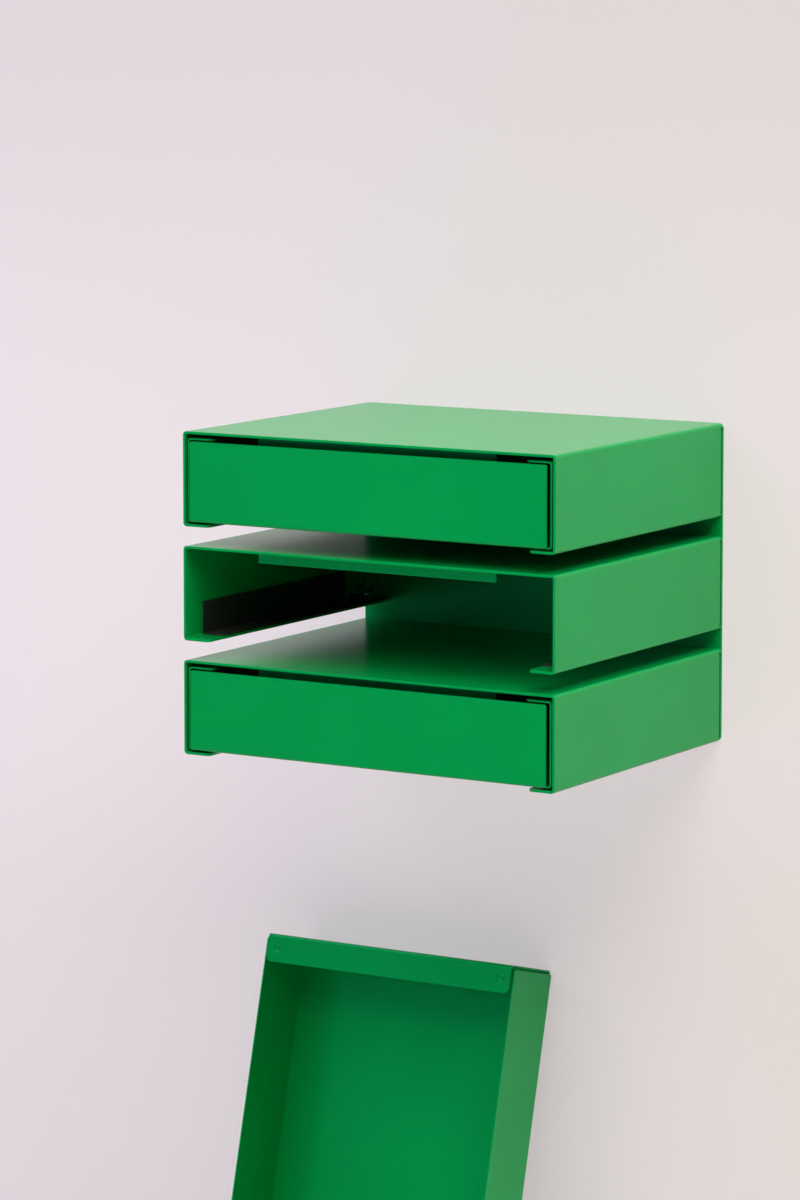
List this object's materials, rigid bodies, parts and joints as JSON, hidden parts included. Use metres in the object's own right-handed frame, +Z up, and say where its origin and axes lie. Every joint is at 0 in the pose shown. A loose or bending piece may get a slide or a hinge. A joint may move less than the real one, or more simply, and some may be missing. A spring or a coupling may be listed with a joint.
{
  "type": "wall-mounted drawer unit",
  "caption": "Wall unit of folded green sheet steel: open-floored bays on a back plate, sliding trays with inward top flanges, one bay empty and its tray leaning on the wall below.",
  "frame": {"origin": "centre of the back plate's rear face, on the wall", "axes": "+Y into the wall, square to the back plate; +Z up; +X to the right as seen from the room"},
  "size_m": [0.3883, 0.2705, 0.7667],
  "materials": {
    "green_paint": "satin powder coat, fine grain",
    "black_plastic": "matt",
    "dark_zinc": "dark zinc plate"
  },
  "bodies": {
    "root": {"back_plate": "green_paint", "carcass_bottom": "green_paint", "carcass_middle": "green_paint", "carcass_top": "green_paint", "stop_angle_bottom": "green_paint", "stop_angle_middle": "green_paint", "stop_angle_top": "green_paint", "drawer_middle": "green_paint", "glide_bottom_left": "black_plastic", "glide_bottom_right": "black_plastic", "glide_middle_left": "black_plastic", "glide_middle_right": "black_plastic", "glide_top_left": "black_plastic", "glide_top_right": "black_plastic", "glide_screw_bottom_left": "dark_zinc", "glide_screw_bottom_right": "dark_zinc", "glide_screw_middle_left": "dark_zinc", "glide_screw_middle_right": "dark_zinc", "glide_screw_top_left": "dark_zinc", "glide_screw_top_right": "dark_zinc", "plate_screw_bottom_left_low": "dark_zinc", "plate_screw_bottom_left_high": "dark_zinc", "plate_screw_bottom_right_low": "dark_zinc", "plate_screw_bottom_right_high": "dark_zinc", "plate_screw_middle_left_low": "dark_zinc", "plate_screw_middle_left_high": "dark_zinc", "plate_screw_middle_right_low": "dark_zinc", "plate_screw_middle_right_high": "dark_zinc", "plate_screw_top_left_low": "dark_zinc", "plate_screw_top_left_high": "dark_zinc", "plate_screw_top_right_low": "dark_zinc", "plate_screw_top_right_high": "dark_zinc"},
    "drawer_top": {"drawer_top": "green_paint"},
    "drawer_bottom": {"drawer_bottom": "green_paint"}
  },
  "joints": [
    {"name": "drawer_top_slide", "type": "slide", "parent": "root", "child": "drawer_top", "axis": [0, -1, 0], "range_m": [0, 0.2166]},
    {"name": "drawer_bottom_slide", "type": "slide", "parent": "root", "child": "drawer_bottom", "axis": [0, -1, 0], "range_m": [0, 0.2166]}
  ]
}
